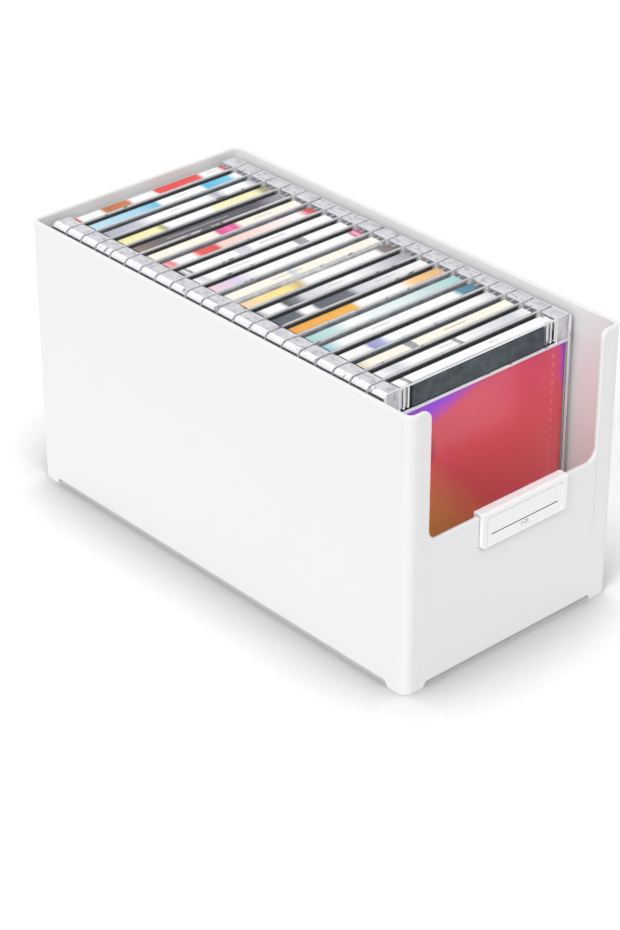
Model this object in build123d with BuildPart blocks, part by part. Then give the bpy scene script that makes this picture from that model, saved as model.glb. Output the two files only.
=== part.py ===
# CD storage drawer: an open-topped moulded bin whose front wall dips to a low lip, an index
# holder hooked over that lip, and a row of jewel cases that stand in it with their spines up.
# Millimetres.  X runs along the spines, Y from the front lip to the back wall, Z up.
# The origin is on the ground, under the middle of the whole object.
import os
from math import asin, cos, degrees, pi, sin

from build123d import *

os.makedirs("parts", exist_ok=True)

fit_gap = 0.3  # running clearance between pieces that move

# ---- disc: its size sets the case's width ----
disc_radius = 60.0
disc_hole_radius = 7.5
disc_thickness = 1.2

# ---- jewel case: outside ----
case_depth = 10.4  # from the cover's face to the back
case_height = 142.0  # from the opening edge, which is down, to the spine
case_wall = 1.2  # clear polystyrene panels
case_count = 21
case_gap = 1.4  # air between two cases in the row

# ---- jewel case: hinge end ----
ear_width = 10.0  # lid corner at each end of the spine
ear_radius = 3.2  # outer rounding of that corner
ear_steps = 3  # flats that make this rounding on the cases behind the front one
hinge_zone = 13.6  # from the spine down to the lid panel's edge
bar_gap = 1.2  # slot between that edge and the tray's bar
hinge_drop = 6.0  # hinge axis below the spine
pin_radius = 1.5
pin_length = 1.8
pin_clearance = 0.2
lug_radius = 3.0
lug_width = 1.6
shoulder_drop = 4.0  # the base panel's corners stop this far below the spine
rib_width = 1.2
rib_gap = 1.6
rib_count = 3  # clear ribs at each end of the front case's bar
rib_setback = 0.6  # ribs behind the cover's face

# ---- jewel case: inside ----
tray_wall = 1.2
tray_front = 4.2  # face of the tray's corners behind the cover's face
disc_room = 0.75  # air between the disc's edge and the round well
tray_side_room = 0.45  # tray's side outside the disc's edge
disc_seat_radius = 17.0
disc_seat_height = 0.6
hub_clearance = 0.2
hub_wall = 2.1
hub_height = 3.0
hub_slot = 0.9
hub_teeth = 12
disc_sides = 36  # of the discs in the cases behind the front one
disc_hole_sides = 12
booklet_height = 120.0
booklet_side_room = 0.75
booklet_thickness = 1.0
booklet_margin = 4.5  # booklet above the opening edge
tab_radius = 6.0
tab_reach = 4.0
tab_thickness = 0.8
tab_heights = (34.0, 92.0)  # above the opening edge
inlay_thickness = 0.3
spine_strip = 6.5  # width of the inlay's folded spine
paper_gap = 0.1  # air around still pieces inside a case
paper_margin = 1.8  # inlay inside the base at each side

# ---- room around the row ----
room_left = 7.5
room_right = 3.0
room_back = 3.1
browse_room = 25.5  # finger room behind the front lip
rim_margin = 3.2  # rim above the spines
lift_spare = 3.0  # air under a case that has been lifted out
lid_spare = 2.0  # air left in front of the open lid

# ---- drawer ----
wall = 2.5
floor_thickness = 2.5
foot_height = 3.0
foot_length = 13.0
foot_slope = 1.5
corner_radius = 5.0
lip_height = 81.0
pillar_width = 14.0  # what stays of the front wall beside the cut-out
cutout_radius = 6.0
pillar_radius = 5.0
rim_bevel = 0.7

# ---- index holder ----
clip_width = 58.0
clip_offset = 5.5  # its middle, to the right of the drawer's
clip_plate = 1.8  # front plate
clip_bridge = 1.6
clip_leg = 1.5
clip_front_drop = 20.0
clip_back_drop = 15.0
clip_top_radius = 1.4
clip_corner_radius = 2.5
clip_edge_bevel = 0.4
label_width = 50.0
label_height = 14.0
label_thickness = 0.2
label_corner_radius = 0.5
recess_depth = 0.4
recess_margin = 0.5
recess_bottom = 1.8  # plate left below the recess
clip_spare = 7.0  # air between the lip and the holder that has been lifted off

# ---- sizes that follow ----
tray_width = 2 * (disc_radius + tray_side_room)
base_width = tray_width + 2 * fit_gap
case_width = base_width + 2 * (fit_gap + case_wall)
row_depth = case_count * case_depth + (case_count - 1) * case_gap
case_pitch = case_depth + case_gap
inner_width = room_left + case_width + room_right
inner_length = browse_room + row_depth + room_back
outer_width = inner_width + 2 * wall
outer_length = inner_length + 2 * wall
floor_top = foot_height + floor_thickness
case_bottom = floor_top + fit_gap
case_top = case_bottom + case_height
rim_height = case_top + rim_margin
clip_reach = fit_gap + clip_plate
front_face = (clip_reach - outer_length) / 2
inner_front = front_face + wall
drawer_middle = front_face + outer_length / 2
row_front = inner_front + browse_room
row_middle = (room_left - room_right) / 2

lid_panel_top = case_top - hinge_zone
bar_bottom = lid_panel_top + bar_gap
spine_width = case_width - 2 * (ear_width + fit_gap)
paper_width = spine_width - 2 * (rib_width + rib_gap)
inlay_offset = case_depth - case_wall - paper_gap
tray_back = inlay_offset - inlay_thickness - paper_gap
tray_edge = case_wall + 2 * paper_gap + inlay_thickness  # tray inside the spine faces
disc_middle = (case_bottom + tray_edge + bar_bottom) / 2
well_floor = tray_back - tray_wall
disc_back = well_floor - disc_seat_height - paper_gap
spine_offset = inlay_offset - spine_strip  # front edge of the folded spine
booklet_width = base_width - 2 * booklet_side_room
booklet_bottom = case_bottom + booklet_margin
hinge_height = case_top - hinge_drop
lift_travel = rim_height - case_bottom + lift_spare
clip_travel = clip_front_drop + clip_spare
lid_travel = degrees(asin((browse_room - lid_spare) / (hinge_height - case_bottom)))


def case_front(number):
    # Y of the cover's face of a case, counted from 1 at the front lip
    return row_front + (number - 1) * case_pitch


def facing(y):
    # sketch plane at depth y: its x is X, its y is Z, and it looks out of the front
    return Plane.XZ.offset(-y)


def upright(width, bottom, top):
    # rectangle centred on the row, between two heights
    with Locations((row_middle, (bottom + top) / 2)):
        Rectangle(width, top - bottom)


def case_outline(inset, smooth):
    # front outline of a case, inset from its outer faces, with rounded upper corners
    side = case_width / 2 - inset
    top = case_top - inset
    radius = ear_radius - inset
    with BuildSketch() as outline:
        if smooth:
            upright(2 * side, case_bottom, top)
            fillet(outline.vertices().group_by(Axis.Y)[-1], radius=radius)
        else:
            turns = [step * pi / 2 / ear_steps for step in range(ear_steps + 1)]
            corner = [(side - radius * (1 - cos(turn)), top - radius * (1 - sin(turn))) for turn in turns]
            right = [(row_middle + across, height) for across, height in corner]
            left = [(row_middle - across, height) for across, height in reversed(corner)]
            feet = [(row_middle - side, case_bottom), (row_middle + side, case_bottom)]
            with BuildLine():
                Polyline(*feet, *right, *left, close=True)
            make_face()
    return outline.sketch


def make_lid(front, with_hinge):
    with BuildPart() as lid:
        # side walls, turned over the spine as an ear at each end
        with BuildSketch(facing(front)):
            add(case_outline(0, with_hinge))
            add(case_outline(case_wall, with_hinge), mode=Mode.SUBTRACT)
            with Locations((row_middle, case_top)):
                Rectangle(case_width - 2 * ear_width, 2 * hinge_zone, mode=Mode.SUBTRACT)
        extrude(amount=-case_depth)
        # cover panel, cut back between the ears
        with BuildSketch(facing(front)):
            add(case_outline(0, with_hinge))
            with Locations((row_middle, case_top)):
                Rectangle(case_width - 2 * ear_width, 2 * hinge_zone, mode=Mode.SUBTRACT)
        extrude(amount=-case_wall)
        if with_hinge:
            # half-moon tabs that hold the booklet
            tab_front = case_wall + booklet_thickness + paper_gap + fit_gap
            tab_side = case_width / 2 - case_wall
            with BuildSketch(facing(front + tab_front)):
                for side in (-1, 1):
                    tab_middle = row_middle + side * (tab_side + tab_radius - tab_reach)
                    for height in tab_heights:
                        with Locations((tab_middle, case_bottom + height)):
                            Circle(tab_radius)
                with Locations((row_middle, case_bottom + case_height / 2)):
                    Rectangle(case_width - case_wall, case_height, mode=Mode.INTERSECT)
            extrude(amount=-tab_thickness)
            # hinge pins
            for side in (-1, 1):
                wall_x = row_middle + side * (case_width / 2 - case_wall)
                with BuildSketch(Plane.YZ.offset(wall_x)):
                    with Locations((front + case_depth / 2, hinge_height)):
                        Circle(pin_radius)
                extrude(amount=-side * pin_length)
    return lid.part


def make_base(front, with_hinge):
    back = front + case_depth
    with BuildPart() as base:
        # back panel, stepped in below the ears
        with BuildSketch(facing(back)):
            upright(base_width, case_bottom, case_top - shoulder_drop)
            upright(spine_width, case_bottom, case_top)
        extrude(amount=case_wall)
        # spine wall over the tray, and the wall at the opening edge
        with BuildSketch(facing(back)):
            upright(spine_width, case_top - case_wall, case_top)
        extrude(amount=case_depth - fit_gap)
        with BuildSketch(facing(back)):
            upright(base_width, case_bottom, case_bottom + case_wall)
        extrude(amount=case_depth - case_wall - fit_gap)
        # a clear rib at each end of the spine, and on the front case short ones before the folded paper
        ribs = rib_count if with_hinge else 1
        for side in (-1, 1):
            for rib in range(ribs):
                from_end = rib_width / 2 + rib * (rib_width + rib_gap)
                rib_x = row_middle + side * (spine_width / 2 - from_end)
                rib_back = case_depth if rib == 0 else spine_offset - paper_gap
                with BuildSketch(facing(front + rib_back)):
                    with Locations((rib_x, (bar_bottom + case_top) / 2)):
                        Rectangle(rib_width, case_top - bar_bottom)
                extrude(amount=rib_back - rib_setback)
        if with_hinge:
            # lugs that carry the lid's pins, each on a web from the back panel
            hinge_y = front + case_depth / 2
            for side in (-1, 1):
                lug_x = row_middle + side * base_width / 2
                with BuildSketch(Plane.YZ.offset(lug_x)):
                    with Locations((hinge_y, hinge_height)):
                        Circle(lug_radius)
                    with Locations(((hinge_y + back) / 2, hinge_height - lug_radius / 2)):
                        Rectangle(back - hinge_y, lug_radius)
                    with Locations((hinge_y, hinge_height)):
                        Circle(pin_radius + pin_clearance, mode=Mode.SUBTRACT)
                extrude(amount=-side * lug_width)
    return base.part


def make_tray(front, with_well):
    ribs = rib_count if with_well else 1
    bar_width = spine_width - 2 * ribs * (rib_width + rib_gap)
    with BuildPart() as tray:
        face = front + (tray_front if with_well else well_floor)
        with BuildSketch(facing(front + tray_back)):
            upright(tray_width, case_bottom + tray_edge, bar_bottom)
        extrude(amount=front + tray_back - face)
        # bar that shows above the cover panel, hollow from behind
        with BuildSketch(facing(front + tray_back)):
            upright(bar_width, bar_bottom, case_top - tray_edge)
        extrude(amount=tray_back)
        with BuildSketch(facing(front + tray_back)):
            upright(bar_width - 2 * tray_wall, bar_bottom + tray_wall, case_top - tray_edge - tray_wall)
        extrude(amount=tray_back - tray_wall, mode=Mode.SUBTRACT)
        if with_well:
            # round well, the raised ring that the disc rests on, and the hub
            with BuildSketch(facing(front + well_floor)):
                with Locations((row_middle, disc_middle)):
                    Circle(disc_radius + disc_room)
            extrude(amount=well_floor - tray_front, mode=Mode.SUBTRACT)
            with BuildSketch(facing(front + well_floor)):
                with Locations((row_middle, disc_middle)):
                    Circle(disc_seat_radius)
            extrude(amount=disc_seat_height)
            # hub: a ring of springy teeth that grips the disc's hole
            hub_radius = disc_hole_radius - hub_clearance
            with BuildSketch(facing(front + well_floor)):
                with Locations((row_middle, disc_middle)):
                    Circle(hub_radius)
            extrude(amount=hub_height)
            with BuildSketch(facing(front + well_floor - disc_seat_height)):
                with Locations((row_middle, disc_middle)):
                    Circle(hub_radius - hub_wall)
                    with PolarLocations(0, hub_teeth // 2, angular_range=180):
                        Rectangle(2 * disc_hole_radius, hub_slot)
            extrude(amount=hub_height, mode=Mode.SUBTRACT)
    return tray.part


def make_disc(front, smooth):
    with BuildPart() as disc:
        with BuildSketch(facing(front + disc_back)):
            with Locations((row_middle, disc_middle)):
                if smooth:
                    Circle(disc_radius)
                    Circle(disc_hole_radius, mode=Mode.SUBTRACT)
                else:
                    RegularPolygon(disc_radius, disc_sides)
                    RegularPolygon(disc_hole_radius, disc_hole_sides, mode=Mode.SUBTRACT)
        extrude(amount=disc_thickness)
    return disc.part


def make_inlay(front):
    paper_bottom = case_bottom + case_wall + paper_gap
    paper_top = case_top - case_wall - paper_gap
    with BuildPart() as inlay:
        # back sheet
        with BuildSketch(facing(front + inlay_offset)):
            upright(base_width - 2 * paper_margin, paper_bottom, lid_panel_top)
            upright(paper_width, paper_bottom, paper_top)
        extrude(amount=inlay_thickness)
        # folded spines, one at each edge
        with BuildSketch(facing(front + inlay_offset)):
            upright(paper_width, paper_top - inlay_thickness, paper_top)
            upright(base_width - 2 * paper_margin, paper_bottom, paper_bottom + inlay_thickness)
        extrude(amount=spine_strip)
    return inlay.part


def make_booklet(front):
    with BuildPart() as booklet:
        with BuildSketch(facing(front + case_wall + paper_gap)):
            upright(booklet_width, booklet_bottom, booklet_bottom + booklet_height)
        extrude(amount=-booklet_thickness)
    return booklet.part


def crosses_wall(edge):
    # an edge as long as the drawer's wall is thick
    return abs(edge.length - wall) < fit_gap


def save(piece, name):
    piece.label = name
    export_step(piece, f"parts/{name}.step")


# ---- drawer body ----
with BuildPart() as drawer_body:
    with BuildSketch():
        with Locations((0, drawer_middle)):
            RectangleRounded(outer_width, outer_length, corner_radius)
    extrude(amount=rim_height)
    with BuildSketch(Plane.XY.offset(floor_top)):
        with Locations((0, drawer_middle)):
            RectangleRounded(inner_width, inner_length, corner_radius - wall)
    extrude(amount=rim_height - floor_top, mode=Mode.SUBTRACT)

    # the underside is raised between four corner feet
    for plane, middle, length, through in (
        (Plane.YZ, drawer_middle, outer_length, outer_width),
        (Plane.XZ, 0, outer_width, 2 * outer_length),
    ):
        half_top = length / 2 - foot_length - foot_slope / 2
        half_bottom = half_top + foot_slope
        with BuildSketch(plane):
            with BuildLine():
                Polyline(
                    (middle - half_bottom, 0),
                    (middle - half_top, foot_height),
                    (middle + half_top, foot_height),
                    (middle + half_bottom, 0),
                    close=True,
                )
            make_face()
        extrude(amount=through, both=True, mode=Mode.SUBTRACT)

    # cut-out in the front wall, down to the lip
    cutout_width = outer_width - 2 * pillar_width
    with BuildSketch(facing(inner_front)) as cutout:
        with Locations((0, (lip_height + rim_height) / 2)):
            Rectangle(cutout_width, rim_height - lip_height)
        fillet(cutout.vertices().group_by(Axis.Y)[0], radius=cutout_radius)
    extrude(amount=wall, mode=Mode.SUBTRACT)

    # rounded pillar tops, then a soft edge all round the rim, the cut-out and the lip
    across_wall = drawer_body.edges().filter_by(Axis.Y).filter_by(crosses_wall)
    fillet(across_wall.group_by(Axis.Z)[-1], radius=pillar_radius)
    above_lip = drawer_body.edges().filter_by(lambda edge: edge.bounding_box().min.Z > lip_height - fit_gap)
    seams = above_lip.filter_by(Axis.Y).filter_by(crosses_wall)
    chamfer(above_lip - seams, length=rim_bevel)
save(drawer_body.part, "drawer_body")

# ---- index holder: a U-channel over the lip, with a recess for its label ----
plate_front = front_face - clip_reach
plate_back = front_face - fit_gap
leg_front = inner_front + fit_gap
leg_back = leg_front + clip_leg
bridge_bottom = lip_height + fit_gap
bridge_top = bridge_bottom + clip_bridge
plate_bottom = bridge_top - clip_front_drop
recess_width = label_width + 2 * recess_margin
recess_height = label_height + 2 * recess_margin
recess_middle = plate_bottom + recess_bottom + recess_height / 2

with BuildPart() as index_clip:
    with BuildSketch(Plane.YZ.offset(clip_offset)) as channel:
        with BuildLine():
            Polyline(
                (plate_front, plate_bottom),
                (plate_front, bridge_top),
                (leg_back, bridge_top),
                (leg_back, bridge_top - clip_back_drop),
                (leg_front, bridge_top - clip_back_drop),
                (leg_front, bridge_bottom),
                (plate_back, bridge_bottom),
                (plate_back, plate_bottom),
                close=True,
            )
        make_face()
        fillet(channel.vertices().group_by(Axis.Y)[-1], radius=clip_top_radius)
    extrude(amount=clip_width / 2, both=True)
    fillet(index_clip.edges().filter_by(Axis.Y).group_by(Axis.Z)[0], radius=clip_corner_radius)
    chamfer(index_clip.faces().sort_by(Axis.Y)[0].edges(), length=clip_edge_bevel)
    with BuildSketch(facing(plate_front)):
        with Locations((clip_offset, recess_middle)):
            RectangleRounded(recess_width, recess_height, label_corner_radius + recess_margin)
    extrude(amount=-recess_depth, mode=Mode.SUBTRACT)
save(index_clip.part, "index_clip")

with BuildPart() as index_label:
    with BuildSketch(facing(plate_front + recess_depth)):
        with Locations((clip_offset, recess_middle)):
            RectangleRounded(label_width, label_height, label_corner_radius)
    extrude(amount=label_thickness)
save(index_label.part, "index_label")

# ---- front case, piece by piece ----
first = case_front(1)
save(make_lid(first, with_hinge=True), "front_case_lid")
save(make_booklet(first), "front_case_booklet")
save(make_base(first, with_hinge=True), "front_case_base")
save(make_tray(first, with_well=True), "front_case_tray")
save(make_disc(first, smooth=True), "front_case_disc")
save(make_inlay(first), "front_case_inlay")

# ---- the row behind it: a clear shell and its contents for each case ----
for number in range(2, case_count + 1):
    front = case_front(number)
    shell = Compound(children=[make_lid(front, False), make_base(front, False)])
    save(shell, f"case_{number:02d}_shell")
    papers = [make_inlay(front), make_booklet(front)]
    contents = Compound(children=[make_tray(front, False), make_disc(front, False), *papers])
    save(contents, f"case_{number:02d}_contents")

print("outside", outer_width, "x", outer_length + clip_reach, "x", rim_height)
print("lid opens", round(lid_travel, 2), "degrees in the browse room")
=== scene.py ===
import math

import bmesh
import bpy
import numpy as np
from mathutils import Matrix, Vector


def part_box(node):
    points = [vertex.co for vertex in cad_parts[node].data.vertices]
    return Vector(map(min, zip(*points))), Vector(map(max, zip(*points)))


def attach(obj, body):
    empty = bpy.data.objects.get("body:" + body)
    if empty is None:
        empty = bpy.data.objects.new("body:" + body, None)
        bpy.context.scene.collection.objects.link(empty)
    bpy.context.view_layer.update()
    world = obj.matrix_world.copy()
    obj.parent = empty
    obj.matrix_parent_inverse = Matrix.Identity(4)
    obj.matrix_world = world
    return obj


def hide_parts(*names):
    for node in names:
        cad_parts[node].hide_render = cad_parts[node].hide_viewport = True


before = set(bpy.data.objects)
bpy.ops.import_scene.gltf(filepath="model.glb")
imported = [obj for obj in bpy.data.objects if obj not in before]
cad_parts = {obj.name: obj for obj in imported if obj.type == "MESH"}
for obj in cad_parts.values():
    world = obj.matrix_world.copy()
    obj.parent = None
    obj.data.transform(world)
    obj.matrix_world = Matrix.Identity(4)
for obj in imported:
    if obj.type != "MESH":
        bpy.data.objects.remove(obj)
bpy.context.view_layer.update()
mm = 0.001
caseCount = sum(name.endswith("_shell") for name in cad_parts) + 1
print("frame loaded,", caseCount, "cases in the row")


def gridFaces(rows, columns, closeRows=False, closeColumns=False):
    # quads between the neighbours of a rows x columns grid of points
    i = np.arange(rows if closeRows else rows - 1)
    j = np.arange(columns if closeColumns else columns - 1)
    i, j = (index.ravel() for index in np.meshgrid(i, j, indexing="ij"))
    here, above = i * columns, (i + 1) % rows * columns
    after = (j + 1) % columns
    return np.stack((here + j, here + after, above + after, above + j), axis=1).tolist()


def arcPoints(centre, radius, start, end, steps):
    # points at equal angles (in degrees) on a circle
    angles = np.radians(np.linspace(start, end, steps + 1))
    return np.stack([centre[0] + radius * np.cos(angles), centre[1] + radius * np.sin(angles)], axis=1)


def roundedOutline(corners, radii, steps=5):
    # a polygon whose corners are arcs: each arc touches both sides at radius * tan(half the turn)
    corners = np.array(corners, float)
    pieces = []
    for here, radius in enumerate(radii):
        point = corners[here]
        before = corners[here - 1] - point
        after = corners[(here + 1) % len(corners)] - point
        before /= np.linalg.norm(before)
        after /= np.linalg.norm(after)
        if radius <= 0:
            pieces.append(point[None, :])
            continue
        opening = math.acos(np.clip(before @ after, -1, 1))
        reach = radius / math.tan(opening / 2)
        bisector = (before + after) / np.linalg.norm(before + after)
        centre = point + bisector * radius / math.sin(opening / 2)
        first, last = point + before * reach - centre, point + after * reach - centre
        start = math.atan2(first[1], first[0])
        turn = (math.atan2(last[1], last[0]) - start + math.pi) % (2 * math.pi) - math.pi
        angles = start + turn * np.linspace(0, 1, steps + 1)
        pieces.append(centre + radius * np.stack([np.cos(angles), np.sin(angles)], axis=1))
    return np.concatenate(pieces)


def insetOutline(outline, distance):
    # each point moves inwards along the mitre of its two sides
    side = np.roll(outline, -1, axis=0) - outline
    side /= np.linalg.norm(side, axis=1)[:, None]
    normal = np.stack([-side[:, 1], side[:, 0]], axis=1)
    earlier = np.roll(normal, 1, axis=0)
    mitre = (normal + earlier) / (1 + np.sum(normal * earlier, axis=1))[:, None]
    area = np.sum(outline[:, 0] * np.roll(outline[:, 1], -1) - np.roll(outline[:, 0], -1) * outline[:, 1])
    return outline + mitre * distance * np.sign(area)


def prism(outline, low, high, edge, steps=2):
    # an outline in X and Z carried from low to high along Y; near each end it shrinks by
    # edge * (1 - sin) while it advances by edge * (1 - cos), which rounds the rims
    turn = np.linspace(0, math.pi / 2, steps + 1)
    shrink = edge * (1 - np.sin(turn))
    advance = edge * (1 - np.cos(turn))
    levels = [(low + a, s) for a, s in zip(advance, shrink)]
    levels += [(high - a, s) for a, s in zip(advance[::-1], shrink[::-1])]
    across = [insetOutline(outline, s) for _, s in levels]
    along = np.repeat([level for level, _ in levels], len(outline))
    first, second = np.concatenate(across).T
    count = len(outline)
    faces = gridFaces(len(levels), count, closeColumns=True)
    faces += [list(range(count)), list(range((len(levels) - 1) * count, len(levels) * count))]
    return np.stack([first, along, second], axis=1), faces


def slab(half, depthFrom, depthTo, low, high, edge):
    # a flat box that is symmetric in X, with every edge rounded
    corners = [(-half, low), (half, low), (half, high), (-half, high)]
    return prism(roundedOutline(corners, [edge] * 4, 2), depthFrom, depthTo, edge)


def makePiece(name, parts, materials, body, replaced=(), sharpAngle=38, shift=(0, 0, 0)):
    # parts: (points, faces, material index); every closed part is turned to face outwards
    points, faces, slots = [], [], []
    for partPoints, partFaces, index in parts:
        start = sum(len(p) for p in points)
        points.append(np.asarray(partPoints, float) + np.array(shift, float))
        faces += [[start + corner for corner in face] for face in partFaces]
        slots += [index] * len(partFaces)
    mesh = bpy.data.meshes.new(name)
    mesh.from_pydata(np.concatenate(points).tolist(), [], faces)
    mesh.polygons.foreach_set("material_index", slots)
    for material in materials:
        mesh.materials.append(material)
    work = bmesh.new()
    work.from_mesh(mesh)
    bmesh.ops.remove_doubles(work, verts=work.verts, dist=1e-7)
    bmesh.ops.dissolve_degenerate(work, edges=work.edges, dist=1e-7)
    bmesh.ops.recalc_face_normals(work, faces=work.faces)
    work.to_mesh(mesh)
    work.free()
    return finishPiece(name, mesh, body, replaced, sharpAngle)


def finishPiece(name, mesh, body, replaced, sharpAngle=38):
    # smooth shading up to an angle, with the big flat faces kept flat
    mesh.shade_smooth()
    mesh.set_sharp_from_angle(angle=math.radians(sharpAngle))
    piece = bpy.data.objects.new(name, mesh)
    bpy.context.scene.collection.objects.link(piece)
    flat = piece.modifiers.new("flatFaces", "WEIGHTED_NORMAL")
    flat.keep_sharp = True
    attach(piece, body)
    if replaced:
        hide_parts(*replaced)
    return piece


def mergedCopy(node, name, body, materials, bevel, thin=0.0, sharpAngle=38):
    # a CAD node's mesh, merged into whole faces; its bevel, and faces whose width
    # (2 * area / perimeter) is under thin, get the last of the materials
    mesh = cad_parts[node].data.copy()
    mesh.name = name
    mesh.materials.clear()
    for material in materials:
        mesh.materials.append(material)
    work = bmesh.new()
    work.from_mesh(mesh)
    bmesh.ops.remove_doubles(work, verts=work.verts, dist=1e-6)
    bmesh.ops.dissolve_limit(work, angle_limit=math.radians(0.5), verts=work.verts, edges=work.edges)
    bmesh.ops.recalc_face_normals(work, faces=work.faces)
    for face in work.faces:
        narrow = 2 * face.calc_area() < thin * face.calc_perimeter()
        face.material_index = len(materials) - 1 if narrow else 0
    work.to_mesh(mesh)
    work.free()
    piece = finishPiece(name, mesh, body, (node,), sharpAngle)
    soft = piece.modifiers.new("softEdges", "BEVEL")
    soft.width = bevel
    soft.segments = 2
    soft.limit_method = "ANGLE"
    soft.angle_limit = math.radians(40)
    soft.use_clamp_overlap = True
    soft.material = len(materials) - 1
    piece.modifiers.move(1, 0)
    return piece


def newMaterial(name):
    material = bpy.data.materials.new(name)
    material.use_nodes = True
    nodes = material.node_tree.nodes
    nodes.clear()
    output = nodes.new("ShaderNodeOutputMaterial")
    surface = nodes.new("ShaderNodeBsdfPrincipled")
    material.node_tree.links.new(surface.outputs["BSDF"], output.inputs["Surface"])
    return material, surface


class Nodes:
    # short calls for the node trees below
    def __init__(self, material):
        self.tree = material.node_tree

    def link(self, source, target):
        self.tree.links.new(source, target)
        return target

    def objectPlace(self, middle=(0, 0, 0), scale=(1, 1, 1)):
        # the piece's own coordinates, counted from a point and scaled
        place = self.tree.nodes.new("ShaderNodeTexCoord")
        mapping = self.tree.nodes.new("ShaderNodeMapping")
        mapping.inputs["Location"].default_value = [-m * s for m, s in zip(middle, scale)]
        mapping.inputs["Scale"].default_value = scale
        self.link(place.outputs["Object"], mapping.inputs["Vector"])
        return mapping.outputs["Vector"]

    def objectNormal(self):
        # the surface's direction in the piece's own coordinates
        return self.tree.nodes.new("ShaderNodeTexCoord").outputs["Normal"]

    def split(self, vector):
        parts = self.tree.nodes.new("ShaderNodeSeparateXYZ")
        self.link(vector, parts.inputs[0])
        return parts.outputs

    def noise(self, vector, scale, detail=3.0, rough=0.5):
        node = self.tree.nodes.new("ShaderNodeTexNoise")
        node.inputs["Scale"].default_value = scale
        node.inputs["Detail"].default_value = detail
        node.inputs["Roughness"].default_value = rough
        self.link(vector, node.inputs["Vector"])
        return node.outputs["Fac"]

    def math(self, operation, first, second=0.0, clamp=False):
        node = self.tree.nodes.new("ShaderNodeMath")
        node.operation = operation
        node.use_clamp = clamp
        for value, socket in ((first, node.inputs[0]), (second, node.inputs[1])):
            if isinstance(value, (int, float)):
                socket.default_value = value
            else:
                self.link(value, socket)
        return node.outputs[0]

    def band(self, value, low, high, soft):
        # 1 between low and high, falling to 0 over a soft edge
        rise = self.math("DIVIDE", self.math("SUBTRACT", value, low - soft / 2), soft, clamp=True)
        fall = self.math("DIVIDE", self.math("SUBTRACT", high + soft / 2, value), soft, clamp=True)
        return self.math("MULTIPLY", rise, fall)

    def mix(self, factor, first, second, blend="MIX"):
        node = self.tree.nodes.new("ShaderNodeMix")
        node.data_type = "RGBA"
        node.blend_type = blend
        for value, socket in ((factor, node.inputs[0]), (first, node.inputs[6]), (second, node.inputs[7])):
            if isinstance(value, (int, float)):
                socket.default_value = value
            elif isinstance(value, (tuple, list)):
                socket.default_value = (*value[:3], 1.0)
            else:
                self.link(value, socket)
        return node.outputs[2]

    def above(self, value, level, gain):
        # 0 up to a level, then rising to 1 by the gain (a negative gain turns it round)
        return self.math("MULTIPLY", self.math("SUBTRACT", value, level), gain, clamp=True)

    def ramp(self, value, stops):
        node = self.tree.nodes.new("ShaderNodeValToRGB")
        elements = node.color_ramp.elements
        elements[0].position, elements[0].color = stops[0][0], (*stops[0][1][:3], 1.0)
        elements[1].position, elements[1].color = stops[-1][0], (*stops[-1][1][:3], 1.0)
        for position, colour in stops[1:-1]:
            element = elements.new(position)
            element.color = (*colour[:3], 1.0)
        self.link(value, node.inputs[0])
        return node.outputs[0]

    def bump(self, height, strength, distance):
        node = self.tree.nodes.new("ShaderNodeBump")
        node.inputs["Strength"].default_value = strength
        node.inputs["Distance"].default_value = distance
        self.link(height, node.inputs["Height"])
        return node.outputs["Normal"]


def linear(red, green, blue):
    # a screen colour from 0 to 255 as linear light
    share = np.array([red, green, blue]) / 255
    return tuple(np.where(share <= 0.04045, share / 12.92, ((share + 0.055) / 1.055) ** 2.4).tolist())


whitePlastic = {
    "colour": linear(240, 240, 240),
    "roughness": 0.3,
    "drift": 0.08,  # how far the roughness wanders
    "grain": 0.000004,  # height of the waves and the grain, in metres
}
# the clip also gets a painted shade colour for its down-turned edges
clipPlastic = dict(whitePlastic, colour=linear(251, 251, 251), roughness=0.2, underside=linear(176, 178, 182))


def whitePlasticMaterial(name, look):
    # glossy moulded plastic: faint flow waves and a fine grain, roughness that drifts a little
    material, surface = newMaterial(name)
    n = Nodes(material)
    place = n.objectPlace()
    tone = n.mix(n.noise(place, 9.0, 2.0), tuple(c * 0.985 for c in look["colour"]), look["colour"])
    if "underside" in look:
        # painted shade: a fine darker line where an edge turns down and isn't part of the front face
        _, depth, height = n.split(n.objectNormal())
        down = n.above(height, -0.05, -3.0)
        turned = n.math("MULTIPLY", n.math("GREATER_THAN", n.math("ADD", depth, 0.98), 0.0), down)
        tone = n.mix(turned, tone, look["underside"])
    n.link(tone, surface.inputs["Base Color"])
    drift = n.math("MULTIPLY", n.noise(place, 60.0, 3.0), look["drift"])
    n.link(n.math("ADD", drift, look["roughness"] - look["drift"] / 2), surface.inputs["Roughness"])
    height = n.math("ADD", n.math("MULTIPLY", n.noise(place, 14.0, 1.0), 5.0), n.noise(place, 1800.0, 2.0))
    n.link(n.bump(height, 0.12, look["grain"]), surface.inputs["Normal"])
    surface.inputs["Specular IOR Level"].default_value = 0.5
    return material


# clear plastic with a painted reflection, a painted glow in the hinge corners and painted highlights on its
# borders
clearPlastic = {
    "tint": linear(238, 240, 247),
    "caughtLightLow": linear(188, 188, 204),
    "caughtLightMiddle": linear(238, 238, 246),
    "caughtLightHigh": linear(255, 255, 255),
    "faceAlpha": 0.012,  # seen straight on
    "edgeAlpha": 0.5,  # at a grazing angle
    "caughtLightAlpha": 0.55,  # of the hinge corners
    "borderHighlight": 0.85,  # of the painted highlight on the borders
    "wallFrom": 60.15 * mm,  # where the side walls start, from the middle
    "panelTop": (-14.9 * mm, -13.3 * mm),  # the panel's upper edge, from the spine
    "earFrom": 52.0 * mm,
    "earDepth": 13.0 * mm,
    "roughness": 0.07,
}


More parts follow.
